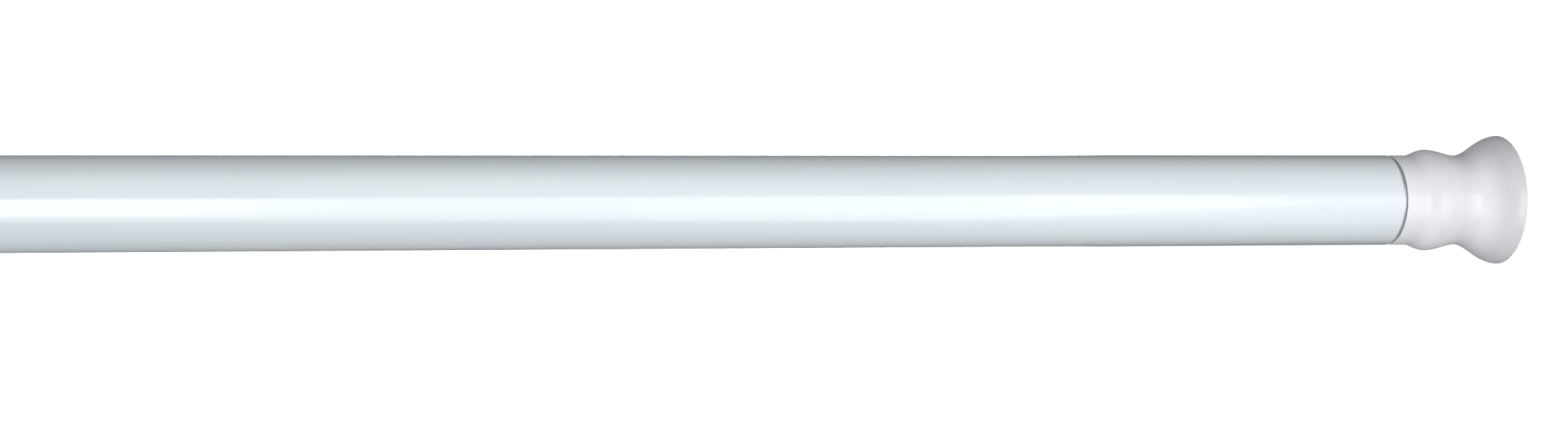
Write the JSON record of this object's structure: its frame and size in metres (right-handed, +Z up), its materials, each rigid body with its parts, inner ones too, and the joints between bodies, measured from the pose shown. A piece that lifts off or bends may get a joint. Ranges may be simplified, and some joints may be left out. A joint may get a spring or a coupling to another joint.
{
  "type": "curtain tension rod",
  "caption": "Telescopic curtain tension rod: an inner tube slides from an outer one, an eccentric twist lock holds it, and a spring presses flared end caps against two walls.",
  "frame": {"origin": "centre of the outer face of the right-hand wall pad, on the rod axis", "axes": "+X along the rod towards the right-hand wall, +Z up"},
  "size_m": [0.74, 0.036, 0.036],
  "materials": {
    "tube_white": "cool white powder coat on thin steel tube, satin, with bare cut ends",
    "cap_white": "neutral white injection-moulded plastic, satin",
    "pad_soft": "soft pale grey vinyl, matt",
    "collar_white": "neutral white plastic, satin",
    "nylon": "natural nylon",
    "zinc_steel": "bright zinc plate",
    "spring_steel": "drawn spring wire, lightly oiled"
  },
  "bodies": {
    "outer_rod": {"outer_tube": "tube_white", "mouth_collar": "collar_white", "end_cap_right": "cap_white", "wall_pad_right": "pad_soft"},
    "lock_grip": {"lock_ring": "nylon"},
    "lock_core": {"lock_spindle": "nylon", "nose_washer": "zinc_steel", "retaining_screw": "zinc_steel", "draw_rod": "zinc_steel", "spindle_cross_pin": "zinc_steel", "spring_washer_front": "zinc_steel", "compression_spring": "spring_steel", "stop_washer": "zinc_steel", "stop_nut": "zinc_steel"},
    "inner_rod": {"inner_tube": "tube_white", "tail_bush": "nylon", "bush_rivet_top": "zinc_steel", "bush_rivet_bottom": "zinc_steel", "spring_washer_rear": "zinc_steel", "end_cap_left": "cap_white", "wall_pad_left": "pad_soft"}
  },
  "joints": [
    {"name": "telescope", "type": "slide", "parent": "outer_rod", "child": "lock_grip", "axis": [-1, 0, 0], "range_m": [-0.04, 0.36]},
    {"name": "twist_lock", "type": "hinge", "parent": "lock_grip", "child": "lock_core", "pos_m": [-0.1092, 0, 0], "axis": [1, 0, 0], "range_deg": [0, 40]},
    {"name": "spring_travel", "type": "slide", "parent": "lock_core", "child": "inner_rod", "axis": [1, 0, 0], "range_m": [0, 0.025], "stiffness_N_per_m": 1500, "springref_m": -0.01, "deforming": ["compression_spring"]}
  ]
}
